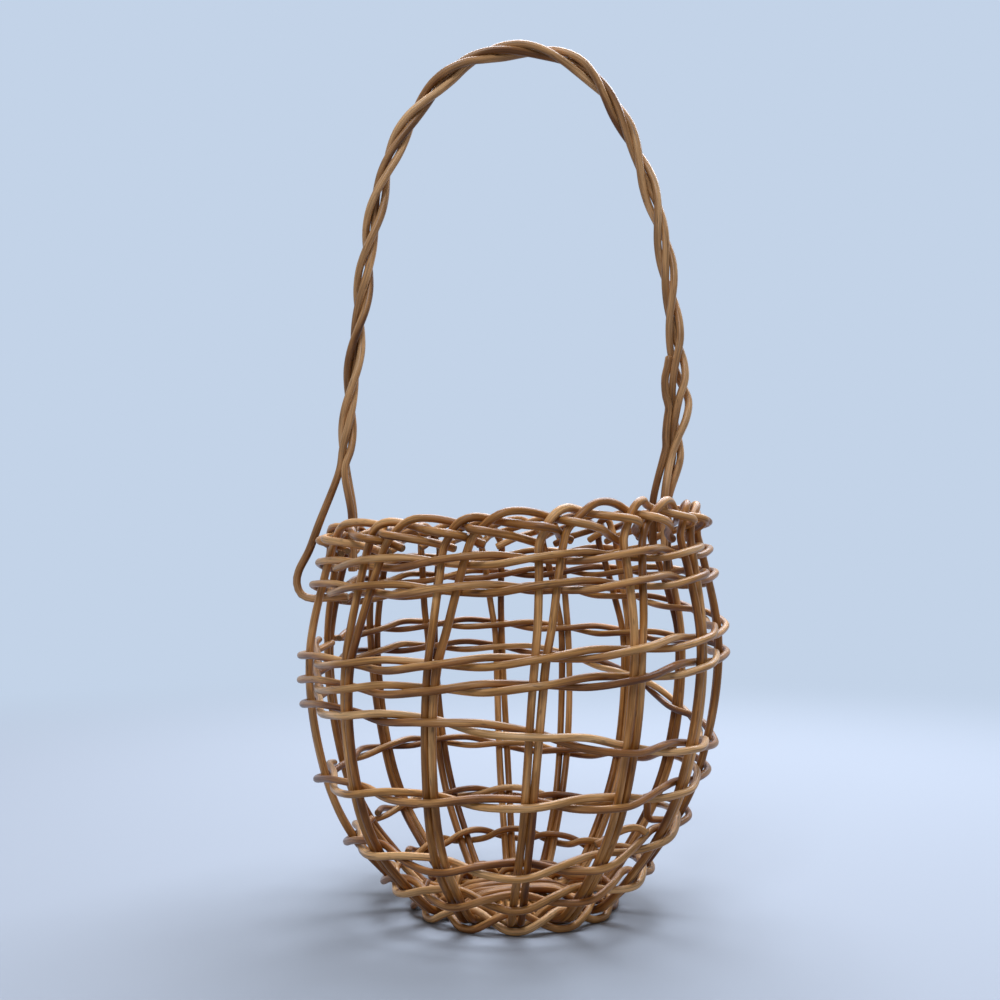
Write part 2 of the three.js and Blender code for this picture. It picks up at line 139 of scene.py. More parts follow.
class RoundCurve:
    """Smooth centripetal curve through points, as the part's source draws its section and its arch."""

    LENGTH_STEPS = 200
    LEAST_STEP = 1e-4
    TANGENT_REACH = 1e-4

    def __init__(self, points: Sequence[Vector]) -> None:
        """Keeps the points, with one more added at each end, and measures the curve.

        Args:
            points: At least two points to pass through.
        """
        first = points[0] * 2 - points[1]
        last = points[-1] * 2 - points[-2]
        self.count = len(points)
        self.points = [first, *points, last]
        spots = [self.point(i / self.LENGTH_STEPS) for i in range(self.LENGTH_STEPS + 1)]
        self.lengths = [0.0]
        for before, after in zip(spots, spots[1:]):
            self.lengths.append(self.lengths[-1] + (after - before).length)

    def point(self, share: float) -> Vector:
        """Point at a share of the way, counted evenly from point to point.

        Args:
            share: 0 at the first point, 1 at the last.

        Returns:
            The point on the curve.
        """
        place = (self.count - 1) * share
        index = min(int(place), self.count - 2)
        weight = place - index
        before, start, stop, after = self.points[index:index + 4]
        into, along, onward = (
            max((b - a).length_squared ** 0.25, self.LEAST_STEP)
            for a, b in ((before, start), (start, stop), (stop, after))
        )
        leave = (start - before) / into - (stop - before) / (into + along) + (stop - start) / along
        reach = (stop - start) / along - (after - start) / (along + onward) + (after - stop) / onward
        leave *= along
        reach *= along
        square = (stop - start) * 3 - leave * 2 - reach
        cube = (start - stop) * 2 + leave + reach
        return start + (leave + (square + cube * weight) * weight) * weight

    def tangent(self, share: float) -> Vector:
        """Direction of the curve at a share of the way."""
        reach = self.TANGENT_REACH
        return (self.point(min(share + reach, 1)) - self.point(max(share - reach, 0))).normalized()

    def share_at_length(self, share: float) -> float:
        """Turns a share of the whole length into one that is counted from point to point.

        Args:
            share: Share of the length.

        Returns:
            The share that point() takes.
        """
        wanted = share * self.lengths[-1]
        index = next((i for i, length in enumerate(self.lengths) if length >= wanted), self.LENGTH_STEPS)
        if index == 0:
            return 0.0
        low, high = self.lengths[index - 1], self.lengths[index]
        return (index - 1 + (wanted - low) / (high - low)) / self.LENGTH_STEPS

    def even_points(self, step: float) -> list[Vector]:
        """Points along the curve, about one step apart.

        Args:
            step: Distance between neighbours.

        Returns:
            The points, both ends among them.
        """
        spots = []
        for index in range(self.count - 1):
            length = (self.points[index + 2] - self.points[index + 1]).length
            pieces = max(round(length / step), 1)
            spots += [self.point((index + i / pieces) / (self.count - 1)) for i in range(pieces)]
        return [*spots, self.points[-2].copy()]


@dataclass(frozen=True)
class GrainPattern:
    """Noise with cells of a length along the rod and a width round it."""

    length: float
    width: float
    detail: float
    roughness: float

    def add(self, tree: bpy.types.NodeTree, grain: bpy.types.NodeSocket) -> bpy.types.NodeSocket:
        """Adds the pattern to a material.

        Args:
            tree: The material's node tree.
            grain: The coordinates along and round the rod in millimetres.

        Returns:
            The pattern's value.
        """
        scale = (1 / self.length, 1 / self.width, 1 / self.width)
        cells = add_node(tree, "Mapping", inputs={"Vector": grain, "Scale": scale}).outputs["Vector"]
        return add_node(tree, "TexNoise", inputs={
            "Vector": cells, "Scale": 1.0, "Detail": self.detail, "Roughness": self.roughness,
        }).outputs["Fac"]


@dataclass(frozen=True)
class CaneFinish:
    """Peeled round cane, drawn through a die and left bare.

    The eye sees a satin skin with fine fibres along the rod, slow drifts from honey to brown, darker
    weathered stretches, and a few short dark flecks.
    """

    name: str
    pale: str
    middle: str
    brown: str
    fleck: str = "#4f3420"
    roughness: float = 0.33
    gloss_swing: float = 0.1
    specular: float = 0.25
    drift: GrainPattern = GrainPattern(46.0, 7.0, 3.0, 0.6)
    # Real fibres are about 0.15 mm wide, too fine to show, so they are drawn wider
    fibre: GrainPattern = GrainPattern(16.0, 0.55, 2.0, 0.55)
    flecks: GrainPattern = GrainPattern(5.0, 0.8, 1.0, 0.4)
    fibre_depth: float = 0.05
    fibre_relief: float = 0.7
    # Where brown, middle and pale lie on the drift, and which values of the others show, and how much
    tone_places: tuple[float, float, float] = (0.3, 0.52, 0.74)
    fibre_band: tuple[float, float] = (0.3, 0.7)
    fibre_shades: tuple[float, float] = (0.58, 1.3)
    fleck_band: tuple[float, float] = (0.66, 0.76)
    fleck_strength: float = 0.55

    def material(self) -> bpy.types.Material:
        """Makes the cane's material.

        Returns:
            The material.
        """
        made, tree, shader = start_material(self.name)
        grain = add_node(tree, "Attribute", {"attribute_name": CaneRod.GRAIN}).outputs["Vector"]
        # The rod's own tone with painted light and shade: paler on the upper and outer sides, darker on the
        # lower and inner ones
        tone_and_shade = add_node(tree, "Attribute", {"attribute_name": CaneRod.TONE_AND_SHADE}).outputs["Fac"]
        fibre = self.fibre.add(tree, grain)
        shaded = add_node(tree, "Math", {"operation": "ADD"}, {
            0: self.drift.add(tree, grain), 1: tone_and_shade,
        }).outputs["Value"]
        colour = add_node(tree, "ValToRGB", inputs={"Fac": shaded})
        ramp = colour.color_ramp.elements
        brown_at, middle_at, pale_at = self.tone_places
        for end, place, code in ((0, brown_at, self.brown), (1, pale_at, self.pale)):
            ramp[end].position = place
            ramp[end].color = linear_colour(code)
        ramp.new(middle_at).color = linear_colour(self.middle)
        fibre_shade = add_node(tree, "MapRange", inputs={
            "Value": fibre, "From Min": self.fibre_band[0], "From Max": self.fibre_band[1],
            "To Min": self.fibre_shades[0], "To Max": self.fibre_shades[1],
        }).outputs["Result"]
        fibred = add_node(tree, "Mix", {"data_type": "RGBA", "blend_type": "MULTIPLY"}, {
            "Factor": 1.0, COLOUR_A: colour.outputs["Color"], COLOUR_B: fibre_shade,
        }).outputs[COLOUR_OUT]
        fleck_share = add_node(tree, "MapRange", inputs={
            "Value": self.flecks.add(tree, grain),
            "From Min": self.fleck_band[0], "From Max": self.fleck_band[1],
            "To Min": 0.0, "To Max": self.fleck_strength,
        }).outputs["Result"]
        flecked = add_node(tree, "Mix", {"data_type": "RGBA"}, {
            "Factor": fleck_share, COLOUR_A: fibred, COLOUR_B: linear_colour(self.fleck),
        }).outputs[COLOUR_OUT]
        gloss = add_node(tree, "MapRange", inputs={
            "Value": fibre,
            "To Min": self.roughness + self.gloss_swing, "To Max": self.roughness - self.gloss_swing,
        }).outputs["Result"]
        relief = add_node(tree, "Bump", inputs={
            "Strength": self.fibre_relief, "Distance": self.fibre_depth * MM, "Height": fibre,
        }).outputs["Normal"]
        shader.inputs["Specular IOR Level"].default_value = self.specular
        tree.links.new(flecked, shader.inputs["Base Color"])
        tree.links.new(gloss, shader.inputs["Roughness"])
        tree.links.new(relief, shader.inputs["Normal"])
        return made


@dataclass(frozen=True)
class PithFinish:
    """Cut end of the cane: matt straw-coloured pith with open pores."""

    name: str = "cut_cane_pith"
    straw: str = "#a98a5f"
    pore: str = "#5d4127"
    pore_size: float = 0.5
    roughness: float = 0.85

    def material(self) -> bpy.types.Material:
        """Makes the pith's material.

        Returns:
            The material.
        """
        made, tree, shader = start_material(self.name)
        place = add_node(tree, "TexCoord").outputs["Object"]
        pores = add_node(tree, "TexNoise", inputs={"Vector": place, "Scale": 1 / (self.pore_size * MM)})
        colour = add_node(tree, "Mix", {"data_type": "RGBA"}, {
            "Factor": pores.outputs["Fac"],
            COLOUR_A: linear_colour(self.pore), COLOUR_B: linear_colour(self.straw),
        })
        tree.links.new(colour.outputs[COLOUR_OUT], shader.inputs["Base Color"])
        shader.inputs["Roughness"].default_value = self.roughness
        return made


class Palette:
    """The cane finishes of the basket, one for each of the record's slots, and the cut ends."""

    def __init__(self) -> None:
        """Makes every material once."""
        self.cane = {
            Slot.STAKE: CaneFinish("peeled_cane_stakes", "#dca76c", "#a66f36", "#613108").material(),
            Slot.WEAVER_LIGHT: CaneFinish("peeled_cane_pale", "#e6b67e", "#b78247", "#764213").material(),
            Slot.WEAVER_DARK: CaneFinish("peeled_cane_brown", "#d09c60", "#9c6635", "#5b2e08").material(),
            Slot.HANDLE: CaneFinish("peeled_cane_handle", "#e0b07c", "#b38353", "#6c4018").material(),
        }
        self.pith = PithFinish().material()


@dataclass
class CaneRod:
    """One cane rod along a route, with the slight swelling and bending of a natural rod."""

    GRAIN = "cane_grain"
    # Each point's own random tone plus painted light and shade
    TONE_AND_SHADE = "cane_tone_and_painted_shade"
    SIDES = 12
    STEP = 2.0
    # A cut end is worn round over this length, down to a share of the radius
    ROUNDING = 0.5
    TIP_SHARE = 0.8
    MERGE_DISTANCE = 0.001
    SMOOTH_ANGLE = 50
    # Steps of the angle from rod to rod and from use to use, and of the grain from rod to rod
    ROD_TURN = 2.399
    USE_TURN = 1.7
    GRAIN_SHIFT = 900.0
    # Bends along the three axes and two swellings, each with its use of the angle and its length
    BENDS = ((0, 17), (1, 22), (2, 27))
    SWELLS = ((4, 21), (5, 7.3))
    TONE_USE = 6
    # Number of points over which the bends set in at an end
    EASE_POINTS = 10

    node: str
    route: list[Vector]
    diameter: float
    body: Body
    slot: Slot
    number: int = 0
    in_cad: bool = True
    wander: float = 0.22
    swelling: float = 0.035
    second_swell: float = 0.6
    # Painted light and shade: the upper and outer sides are drawn paler and the lower and inner sides darker
    painted_light_strength: float = 0.12
    painted_light_from_above: float = 0.8
    painted_light_from_outside: float = 0.45
    tone_swing: float = 0.06

    def phase(self, use: int) -> float:
        """Angle that differs from rod to rod and from use to use."""
        return self.number * self.ROD_TURN + use * self.USE_TURN

    def smooth_points(self) -> list[Vector]:
        """The route as closely set points that bend a little to and fro and stay above the floor.

        Returns:
            The points in millimetres.
        """
        points = RoundCurve(self.route).even_points(self.STEP)
        last = len(points) - 1
        for i, point in enumerate(points):
            gone = i * self.STEP
            ease = min(i, last - i, self.EASE_POINTS) / self.EASE_POINTS
            sway = Vector([math.sin(gone / length + self.phase(use)) for use, length in self.BENDS])
            point += sway * self.wander * ease
            point.z = max(point.z, self.diameter / 2)
        return points

    def radius_share(self, gone: float, left: float) -> float:
        """Share of the full radius at a point of the rod.

        Args:
            gone: Distance from the rod's start.
            left: Distance to its end.

        Returns:
            The share, about 1.
        """
        slow, quick = (math.sin(gone / length + self.phase(use)) for use, length in self.SWELLS)
        worn = mix(self.TIP_SHARE, 1, min(gone / self.ROUNDING, left / self.ROUNDING, 1))
        return (1 + self.swelling * (slow + self.second_swell * quick)) * worn

    def build(self, palette: Palette) -> bpy.types.Object:
        """Bends the rod along its route and dresses it.

        Args:
            palette: The materials.

        Returns:
            The finished piece.
        """
        points = self.smooth_points()
        for end, neighbour in ((0, 1), (-1, -2)):
            inner = points[end] + (points[neighbour] - points[end]).normalized() * self.ROUNDING
            points.insert(1 if end == 0 else len(points) - 1, inner)
        along = [0.0]
        for before, after in zip(points, points[1:]):
            along.append(along[-1] + (after - before).length)
        bpy.ops.object.select_all(action="DESELECT")
        bpy.ops.curve.primitive_nurbs_path_add()
        rod = bpy.context.object
        rod.name = "cane_" + self.node
        curve = rod.data
        curve.splines.clear()
        line = curve.splines.new("POLY")
        line.points.add(len(points) - 1)
        for spot, point, gone in zip(line.points, points, along):
            spot.co = (*(point * MM), 1)
            spot.radius = self.radius_share(gone, along[-1] - gone)
        curve.dimensions = "3D"
        curve.twist_mode = "MINIMUM"
        curve.bevel_depth = self.diameter / 2 * MM
        # A resolution of 0 gives four sides, and each step two more
        curve.bevel_resolution = (self.SIDES - 4) // 2
        curve.use_fill_caps = True
        bpy.ops.object.convert(target="MESH")
        self.mark_grain(rod.data, along)
        rod.data.materials.append(palette.cane[self.slot])
        rod.data.materials.append(palette.pith)
        bpy.ops.object.mode_set(mode="EDIT")
        bpy.ops.mesh.select_all(action="SELECT")
        bpy.ops.mesh.remove_doubles(threshold=self.MERGE_DISTANCE * MM)
        bpy.ops.mesh.normals_make_consistent(inside=False)
        bpy.ops.object.mode_set(mode="OBJECT")
        bpy.ops.object.shade_smooth_by_angle(angle=math.radians(self.SMOOTH_ANGLE))
        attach(rod, self.body.value)
        if self.in_cad:
            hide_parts(self.node)
        log.info("%s: %d points on its route, %d faces", rod.name, len(points), len(rod.data.polygons))
        return rod

    def painted_light_and_shade(self, vertex: bpy.types.MeshVertex) -> float:
        """How much paler a point is: painted light on the upper and outer sides of rods and painted shade on
        the lower and inner sides.

        Args:
            vertex: A point of the rod's mesh.

        Returns:
            A step along the finish's colours.
        """
        # Painted light and shade by the way the surface faces: paler up and out, darker down and in
        away = Vector((vertex.co.x, vertex.co.y, 0)).normalized()
        return self.painted_light_strength * (self.painted_light_from_above * vertex.normal.z + self.painted_light_from_outside * vertex.normal.dot(away))

    def mark_grain(self, mesh: bpy.types.Mesh, along: list[float]) -> None:
        """Writes the coordinates along and round the rod and its tone with painted light and shade on its
        points, and marks its cut ends.

        Args:
            mesh: The rod's mesh, whose two end caps come first and then its rings.
            along: Distance of each ring from the rod's start.
        """
        radius = self.diameter / 2
        mesh.attributes.new(self.GRAIN, "FLOAT_VECTOR", "POINT")
        mesh.attributes.new(self.TONE_AND_SHADE, "FLOAT", "POINT")
        grain, tone_and_shade = mesh.attributes[self.GRAIN], mesh.attributes[self.TONE_AND_SHADE]
        caps = 2 * self.SIDES
        shift = self.number * self.GRAIN_SHIFT
        own_tone = self.tone_swing * math.sin(self.phase(self.TONE_USE))
        for index in range(len(mesh.vertices)):
            ring = (index - caps) // self.SIDES
            if index < caps:
                ring = len(along) - 1 if index < self.SIDES else 0
            turn = 2 * math.pi * (index % self.SIDES) / self.SIDES
            spot = (along[ring] + shift, math.cos(turn) * radius, math.sin(turn) * radius)
            grain.data[index].vector = spot
            # The rod's own random tone plus painted light and shade
            tone_and_shade.data[index].value = own_tone + self.painted_light_and_shade(mesh.vertices[index])
        for face in mesh.polygons:
            if max(face.vertices) < caps:
                face.material_index = 1


@dataclass
class BasketForm:
    """The round body: its half section, the places of its stake pairs and its lean."""

    SEARCH_STEPS = 40

    stake_diameter: float = 2.8
    weaver_diameter: float = 2.6
    handle_diameter: float = 2.8
    clearance: float = 0.45
    crossing_gap: float = 0.7
    row_gap: float = 2.25
    rod_sides: int = 5
    base_radius: float = 38
    belly_radius: float = 80.8
    belly_height: float = 100
    rim_radius: float = 72.8
    rim_height: float = 144.3
    border_rise: float = 11.5
    vee_spread: float = 5.5
    vee_start: float = 0.74
    lean: float = 0.045
    fan_radius: float = 23
    floor_cut: float = 0.4
    # Middle of the whole outline, which the part's source puts on the origin
    centre: Vector = field(default_factory=lambda: Vector((-AXIS_SHIFT, 0.047, 0)))
    # Shares of the way out and up, first from the base to the belly, then from the belly to the rim
    body_section: tuple[tuple[float, float], ...] = (
        (0, 0.006), (0.28, 0.119), (0.62, 0.313), (0.83, 0.517), (0.963, 0.8), (1, 1),
    )
    rim_section: tuple[tuple[float, float], ...] = ((0.19, 0.36), (1, 1))
    # Where each stake pair stands at the base and at the rim, in degrees from the front, right positive
    stake_angles: tuple[tuple[float, float], ...] = (
        (-84, -79), (-55, -45), (-27.5, -18), (0, 8), (29, 33), (57, 59), (82, 84),
        (111, 120), (136, 143), (160, 164), (182, 186), (204, 209), (226, 231), (249, 255),
    )
    # Rise of the hand-made border at each stake pair, as a share of border_rise
    border_shares: tuple[float, ...] = (
        0.8, 0.84, 0.81, 0.92, 1.13, 1.06, 0.92, 0.92, 0.95, 0.95, 0.92, 0.87, 0.83, 0.8,
    )

    def __post_init__(self) -> None:
        """Works out the sizes that follow and draws the half section."""
        self.pairs = len(self.stake_angles)
        self.stake_radius = self.stake_diameter / 2
        self.weaver_radius = self.weaver_diameter / 2
        self.pair_half = (self.stake_diameter + self.clearance) / 2
        self.weave_reach = self.stake_radius + self.weaver_radius + self.clearance
        self.cross_half = self.weaver_radius + self.crossing_gap / 2
        self.row_pitch = 2 * (self.cross_half + self.weaver_radius) + self.row_gap
        floor_gap = self.weaver_radius * math.cos(math.pi / self.rod_sides)
        self.base_level = floor_gap + self.weave_reach - self.floor_cut
        self.upper_level = self.base_level + self.stake_diameter + self.clearance
        self.border_top = self.rim_height + self.border_rise
        self.lean_top = self.belly_height / 3
        base = self.base_radius, self.base_level
        belly = self.belly_radius, self.belly_height
        rim = self.rim_radius, self.rim_height
        points = [Vector((self.fan_radius, self.base_level, 0))]
        for start, stop, shares in ((base, belly, self.body_section), (belly, rim, self.rim_section)):
            for reach, rise in shares:
                points.append(Vector((mix(start[0], stop[0], reach), mix(start[1], stop[1], rise), 0)))
        self.section = RoundCurve(points)

    def share_at(self, axis: int, value: float) -> float:
        """Share of the half section at which a coordinate reaches a value.

        Args:
            axis: 0 for the radius, which grows only up to the belly, or 1 for the height.
            value: The radius or height.

        Returns:
            The share.
        """
        low, high = 0.0, 1.0
        for _ in range(self.SEARCH_STEPS):
            middle = (low + high) / 2
            if self.section.point(middle)[axis] < value:
                low = middle
            else:
                high = middle
        return low

    def share_at_height(self, height: float) -> float:
        """Share of the half section at a height, up to the rim."""
        return self.share_at(1, min(height, self.rim_height))

    def vee_step(self, share: float) -> float:
        """Extra step of a pair's right rod, where the pair parts below the border."""
        return self.vee_spread * (max(share - self.vee_start, 0) / (1 - self.vee_start)) ** 2

    def angle_at(self, place: float, share: float) -> float:
        """Angle of a place that is counted in stake pairs.

        Args:
            place: Such as 2.5 for midway between the third and the fourth pair.
            share: Share of the half section.

        Returns:
            The angle in radians from the front, right positive.
        """
        index = math.floor(place)
        turns = index // self.pairs
        here = self.stake_angles[index % self.pairs]
        there = self.stake_angles[(index + 1) % self.pairs]
        wrap = 360 if (index + 1) % self.pairs == 0 else 0
        start = mix(here[0], here[1], share)
        stop = mix(there[0], there[1], share) + wrap
        return math.radians(mix(start, stop, place - index) + turns * 360)

    def border_rise_at(self, place: float) -> float:
        """Rise of the border over the rim at a place.

        Args:
            place: Counted in stake pairs.

        Returns:
            The rise in millimetres.
        """
        index = math.floor(place)
        here = self.border_shares[index % self.pairs]
        following = self.border_shares[(index + 1) % self.pairs]
        return self.border_rise * mix(here, following, place - index)

    @staticmethod
    def outward(angle: float) -> Vector:
        """Level direction away from the axis at an angle."""
        return Vector((math.sin(angle), -math.cos(angle), 0))

    def leaned(self, point: Vector) -> Vector:
        """The point on the body, which stands higher on the right above its level base."""
        ramp = smoothstep(point.z, self.base_level, self.lean_top)
        return Vector((point.x, point.y, point.z + self.lean * point.x * ramp))

    def skin(self, place: float, share: float) -> tuple[Vector, Vector, Vector]:
        """The body's skin through the middle of the stakes.

        Args:
            place: Place among the stake pairs.
            share: Share of the half section.

        Returns:
            The point, its outward normal and its way up.
        """
        at = self.section.point(share)
        slope = self.section.tangent(share)
        away = self.outward(self.angle_at(place, share))
        point = self.leaned(away * at.x + UP * at.y)
        return point, away * slope.y - UP * slope.x, away * slope.x + UP * slope.y

    def placed(self, route: Sequence[Vector]) -> list[Vector]:
        """The route moved so that the middle of the outline is on the origin."""
        return [point - self.centre for point in route]


@dataclass
class StakeFrame:
    """Seven pairs of long rods that cross under the base, rise as stakes and end in the border."""

    form: BasketForm
    # Here and below, rods are drawn this much thicker than their solids, so that they touch as real cane does
    thickness: float = 1.07
    cross_angle: float = 15
    cross_reach: float = 15
    lane_gap: float = 0.9
    shares: tuple[float, ...] = (0, 0.06, 0.13, 0.2, 0.28, 0.36, 0.46, 0.57, 0.68, 0.79, 0.88, 0.95, 1)
    # How far a bent end has gone in stake pairs, its share of the rise and its offset outward in rods
    left_end: tuple[tuple[float, float, float], ...] = (
        (0, 0.35, 0), (0.05, 0.68, 0.05), (0.13, 0.93, 0.05), (0.26, 1.05, -0.35), (0.46, 0.91, -1.3),
        (0.6, 0.78, -0.85), (0.74, 0.68, 0), (0.9, 0.58, 0.9), (1.01, 0.51, 1.3), (1.1, 0.43, 0.85),
        (1.165, 0.33, -0.3), (1.23, 0.21, -1.2), (1.29, 0.12, -1.3), (1.37, 0.02, -1.3),
    )
    right_end: tuple[tuple[float, float, float], ...] = (
        (0.27, 0.35, 0), (0.38, 0.68, 0), (0.49, 0.93, 0.1), (0.61, 1.08, -0.05), (0.8, 1.07, -0.6),
        (1, 0.92, -1.25), (1.1, 0.81, -1.4), (1.18, 0.71, -0.9), (1.24, 0.64, 0.4), (1.3, 0.58, 1.25),
        (1.41, 0.5, 1.4), (1.52, 0.42, 0.95), (1.66, 0.31, 0.2), (1.8, 0.17, -0.9), (1.92, 0.04, -1.3),
        (2.03, -0.08, -1.3),
    )

    def stake_route(self, index: int, side: int) -> list[Vector]:
        """Route of one stake from the fan of the base to its tip in the border.

        Args:
            index: The stake pair.
            side: -1 for the left rod of the pair or 1 for the right one.

        Returns:
            The stake's points.
        """
        form = self.form
        line = [form.skin(index, share)[:2] for share in self.shares]
        route = []
        for i, (share, (point, normal)) in enumerate(zip(self.shares, line)):
            before = line[max(i - 1, 0)][0]
            after = line[min(i + 1, len(line) - 1)][0]
            across = (after - before).normalized().cross(normal).normalized()
            step = form.pair_half + form.vee_step(share) if side > 0 else -form.pair_half
            route.append(point + across * step)
        for gone, high, offset in self.right_end if side > 0 else self.left_end:
            radius = form.rim_radius + offset * (form.stake_diameter + form.clearance)
            point = form.outward(form.angle_at(index + gone, 1)) * radius
            point.z = form.rim_height + high * form.border_rise_at(index + gone)
            route.append(form.leaned(point))
        return route

    def cross_run(self, lane: int, lanes: int, turn: float, level: float) -> list[Vector]:
        """Straight run of a rod over the middle of the base.

        Args:
            lane: The rod's lane, from 0.
            lanes: Number of lanes side by side.
            turn: Direction of the run in degrees.
            level: Height of the run.

        Returns:
            The two ends of the run.
        """
        forward = self.form.outward(math.radians(turn))
        sideways = self.form.outward(math.radians(turn + 90))
        shift = (lane - (lanes - 1) / 2) * (self.form.stake_diameter + self.lane_gap)
        return [forward * -end * self.cross_reach + sideways * shift + UP * level for end in (-1, 1)]

    def rods(self) -> list[CaneRod]:
        """Routes the fourteen rods of the frame.

        Returns:
            The rods.
        """
        form = self.form
        groups = (
            ("long", (2, 3, 4, 5), (12, 11, 10, 9), self.cross_angle, form.base_level),
            ("short", (6, 7, 8), (1, 0, 13), self.cross_angle + 90, form.upper_level),
        )
        made: list[CaneRod] = []
        for name, near, far, turn, level in groups:
            for order, (start, stop) in enumerate(zip(near, far)):
                for letter, side in (("a", -1), ("b", 1)):
                    lane = order * 2 + (1 if side > 0 else 0)
                    route = self.stake_route(start, side)[::-1]
                    route += self.cross_run(lane, 2 * len(near), turn, level)
                    route += self.stake_route(stop, -side)
                    made.append(CaneRod(
                        f"stake_{name}_{order + 1}{letter}", form.placed(route),
                        form.stake_diameter * self.thickness, Body.BASKET, Slot.STAKE,
                    ))
        return made


@dataclass
class WovenRows:
    """Rows of pairing: two strands that cross between the stake pairs they hold."""

    form: BasketForm
    thickness: float = 1.07
    # Rim rows fall below the rim by a number of row pitches at each stake pair
    rim_rows: dict[str, tuple[float, ...]] = field(default_factory=lambda: {
        "rim_row_upper": (0.58, 0.56, 0.59, 0.63, 0.67, 0.7, 0.7, 0.65, 0.61, 0.6, 0.6, 0.61, 0.61, 0.6),
        "rim_row_lower": (1.63, 1.68, 1.78, 1.83, 1.88, 1.9, 1.88, 1.78, 1.68, 1.63, 1.61, 1.6, 1.61, 1.63),
    })
    # Belly rows fall by a share of the free room under the rim rows; the first value is the row's start
    belly_rows: dict[str, tuple[float, ...]] = field(default_factory=lambda: {
        "belly_row_first":
            (0.36, 0.45, 0.46, 0.43, 0.38, 0.33, 0.31, 0.28, 0.15, 0.05, 0, -0.03, -0.04, -0.04, -0.03),
        "belly_row_second":
            (0.39, 0.47, 0.47, 0.44, 0.4, 0.37, 0.34, 0.33, 0.3, 0.24, 0.2, 0.15, 0.12, 0.12, 0.16),
        "belly_row_third":
            (0.43, 0.49, 0.49, 0.5, 0.61, 0.76, 0.84, 0.96, 0.76, 0.45, 0.28, 0.2, 0.17, 0.16, 0.2),
    })
    # Lower rows rise to a share of the belly's height
    lower_rows: dict[str, tuple[float, ...]] = field(default_factory=lambda: {
        "lower_row_first":
            (0.57, 0.58, 0.576, 0.554, 0.524, 0.524, 0.538, 0.52, 0.49, 0.49, 0.53, 0.574, 0.584, 0.572),
        "lower_row_second":
            (0.325, 0.345, 0.314, 0.295, 0.294, 0.34, 0.37, 0.34, 0.28, 0.3, 0.334, 0.344, 0.334, 0.325),
        "lower_row_third":
            (0.144, 0.166, 0.158, 0.152, 0.166, 0.174, 0.176, 0.16, 0.144, 0.156, 0.172, 0.172, 0.158, 0.148),
    })
    # Base rows lie at a share of the way from the fan of the stakes to the edge of the base
    base_rows: dict[str, float] = field(default_factory=lambda: {
        "base_row_outer": 1.033, "base_row_inner": 0.433,
    })

    def __post_init__(self) -> None:
        """Works out the heights that the belly rows share the room between."""
        form = self.form
        rim = {name: [form.rim_height - fall * form.row_pitch for fall in falls]
               for name, falls in self.rim_rows.items()}
        lower = {name: [rise * form.belly_height for rise in rises]
                 for name, rises in self.lower_rows.items()}
        self.ceiling = rim["rim_row_lower"]
        ground = lower["lower_row_first"]
        belly = {}
        for order, (name, falls) in enumerate(self.belly_rows.items()):
            belly[name] = []
            for pair, fall in zip((form.pairs - 1, *range(form.pairs)), falls):
                room = self.ceiling[pair] - ground[pair] - (len(self.belly_rows) + 1) * form.row_pitch
                belly[name].append(self.ceiling[pair] - (order + 1) * form.row_pitch - fall * room)
        level = {name: [heights[-1], *heights] for name, heights in {**rim, **lower}.items()}
        self.stops = {**level, **belly}

    def strand_route(self, share_of: Callable[[float], float], strand: int) -> list[Vector]:
        """Route of one strand: up over the outside of one stake pair, across, then down inside the next.

        Args:
            share_of: Share of the half section by the number of pairs passed.
            strand: 0 or 1.

        Returns:
            The strand's points.
        """
        form = self.form
        start = form.pairs - 1
        route = []
        for pair in range(form.pairs):
            share = share_of(pair + 0.5)
            gap = form.angle_at(start + pair + 1, share) - form.angle_at(start + pair, share)
            reach = gap * form.section.point(share).x
            leave = (form.pair_half + form.stake_radius + form.vee_step(share)) / reach
            meet = 1 - (form.pair_half + form.stake_radius) / reach
            face = 1 if (pair + strand) % 2 == 0 else -1
            for gone, level, slant in ((leave, face, 2 * leave), (0.5, 0, 1), (meet, -face, 2 * (1 - meet))):
                point, normal, up = form.skin(start + pair + gone, share_of(pair + gone))
                route.append(point + normal * level * form.weave_reach + up * face * slant * form.cross_half)
        return route

    def row_share(self, stops: list[float]) -> Callable[[float], float]:
        """Share of the half section along a row.

        Args:
            stops: The row's heights at its start and at every stake pair.

        Returns:
            A function of the number of pairs passed.
        """
        def share_of(gone: float) -> float:
            """Share at a number of pairs passed."""
            index = min(int(gone), self.form.pairs - 1)
            return self.form.share_at_height(mix(stops[index], stops[index + 1], gone - index))
        return share_of

    def rods(self) -> list[CaneRod]:
        """Routes the two strands of every row.

        Returns:
            The strands.
        """
        form = self.form
        shares = {name: self.row_share(stops) for name, stops in self.stops.items()}
        for name, spread in self.base_rows.items():
            flat = form.share_at(0, mix(form.fan_radius, form.base_radius, spread))
            shares[name] = lambda gone, flat=flat: flat
        made: list[CaneRod] = []
        for name, share_of in shares.items():
            for strand, (letter, slot) in enumerate((("a", Slot.WEAVER_LIGHT), ("b", Slot.WEAVER_DARK))):
                route = form.placed(self.strand_route(share_of, strand))
                diameter = form.weaver_diameter * self.thickness
                made.append(CaneRod(f"{name}_{letter}", route, diameter, Body.BASKET, slot))
        return made


